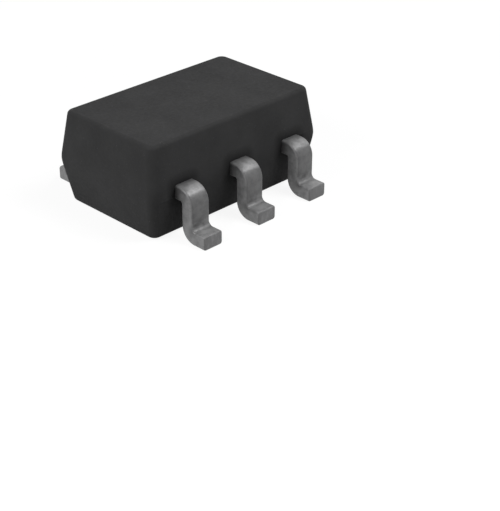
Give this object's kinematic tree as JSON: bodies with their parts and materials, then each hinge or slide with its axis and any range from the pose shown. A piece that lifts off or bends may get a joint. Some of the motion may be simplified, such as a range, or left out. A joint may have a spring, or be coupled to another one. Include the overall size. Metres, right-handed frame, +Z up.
{
  "type": "mosfet array",
  "caption": "MOSFET array in a small drafted black moulding with gull-wing leads along both long sides; die pads, dies and bond wires inside are modelled too.",
  "frame": {"origin": "on the seating plane, under the middle of the body", "axes": "+X along the rows of leads, from lead 1 to lead 3; +Y towards the row of leads 4 to 6; +Z up, away from the circuit board"},
  "size_m": [0.002, 0.002, 0.0009],
  "materials": {
    "mould_compound": "black epoxy mould compound, fine matt texture from the mould",
    "tinned_strip": "nickel-iron strip with matt tin plating, dull grey-white",
    "die_attach": "cured silver-filled adhesive, dull",
    "silicon_die": "polished silicon with aluminium pads on top",
    "bond_wire": "bright gold wire"
  },
  "bodies": {
    "root": {"moulded_body": "mould_compound", "lead_1_source_1": "tinned_strip", "lead_2_gate_1": "tinned_strip", "lead_3_drain_2": "tinned_strip", "lead_4_source_2": "tinned_strip", "lead_5_gate_2": "tinned_strip", "lead_6_drain_1": "tinned_strip", "die_attach_1": "die_attach", "die_attach_2": "die_attach", "mosfet_die_1": "silicon_die", "mosfet_die_2": "silicon_die", "source_wire_1": "bond_wire", "source_wire_2": "bond_wire", "gate_wire_1": "bond_wire", "gate_wire_2": "bond_wire"}
  },
  "joints": []
}
